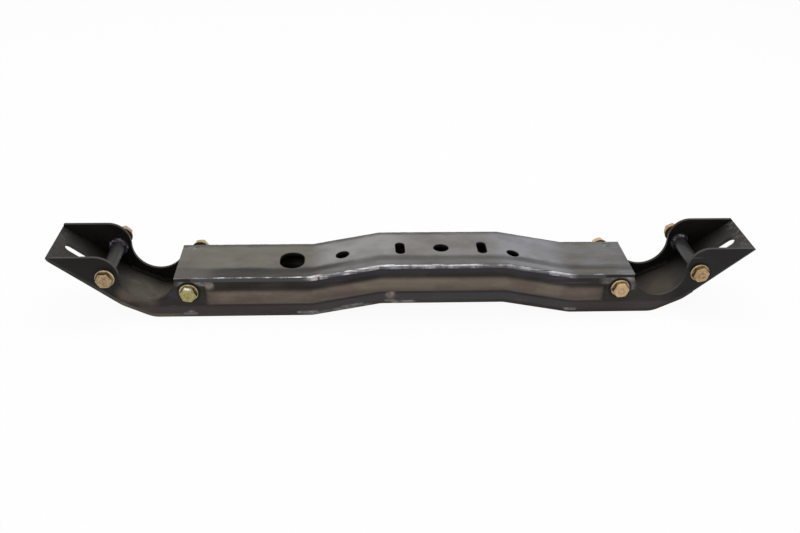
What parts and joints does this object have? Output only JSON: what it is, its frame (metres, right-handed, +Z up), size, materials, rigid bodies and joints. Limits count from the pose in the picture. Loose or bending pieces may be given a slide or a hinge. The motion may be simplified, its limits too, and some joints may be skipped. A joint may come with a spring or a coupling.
{
  "type": "transmission crossmember",
  "caption": "Welded plate crossmember with a raised pad for a transmission mount, exhaust dips with through bolts, and slotted sloping ends that bolt to frame rails.",
  "frame": {"origin": "on the axis of the pad's centre hole, at the top face of the pad", "axes": "+X along the beam towards its right end as seen from the front, +Y to the rear, +Z up"},
  "size_m": [0.919, 0.1368, 0.0947],
  "materials": {
    "plate": "satin dark coating",
    "weld": "ground weld metal",
    "sleeve": "dull steel",
    "bolt": "yellow zinc",
    "nut": "yellow zinc"
  },
  "bodies": {
    "root": {"bottom_plate": "plate", "top_plate": "plate", "front_side_plate": "plate", "rear_side_plate": "plate", "top_front_weld": "weld", "top_rear_weld": "weld", "bottom_front_weld": "weld", "bottom_rear_weld": "weld", "outer_sleeve_welds": "weld", "inner_sleeve_welds": "weld", "left_dip_front_weld": "weld", "left_dip_rear_weld": "weld", "right_dip_front_weld": "weld", "right_dip_rear_weld": "weld", "outer_sleeves": "sleeve", "outer_bolts": "bolt", "outer_nuts": "nut", "inner_sleeves": "sleeve", "inner_bolts": "bolt", "inner_nuts": "nut"}
  },
  "joints": []
}
